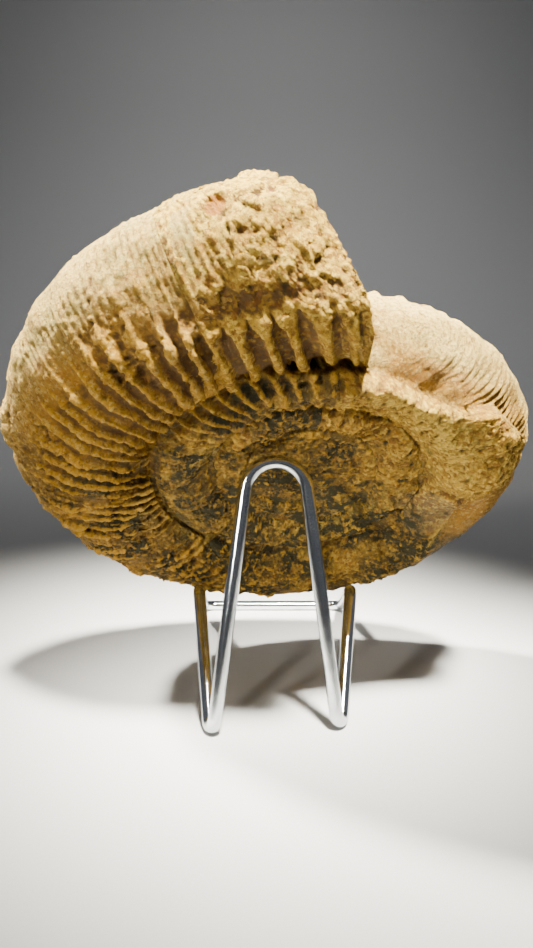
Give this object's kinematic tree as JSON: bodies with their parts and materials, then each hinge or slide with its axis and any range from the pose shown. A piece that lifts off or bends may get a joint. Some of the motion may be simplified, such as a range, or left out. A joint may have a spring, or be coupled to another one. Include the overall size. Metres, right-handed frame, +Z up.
{
  "type": "fossil ammonite on a wire display stand",
  "caption": "Ribbed fossil ammonite with a broken outer whorl and rough rock stuck to one flank, leaning back in a bent wire display stand.",
  "frame": {"origin": "on the surface that the stand stands on, under the middle of the whole object's box", "axes": "+Z up; -Y towards the side of the tall wire loop, which is the side in the picture; +X to the right seen from there"},
  "size_m": [0.154, 0.171, 0.1439],
  "materials": {
    "fossil_stone": "rough, gritty, weathered limestone",
    "plated_wire": "bright plated, softly polished"
  },
  "bodies": {
    "root": {"ammonite": "fossil_stone", "wire_stand": "plated_wire"}
  },
  "joints": []
}
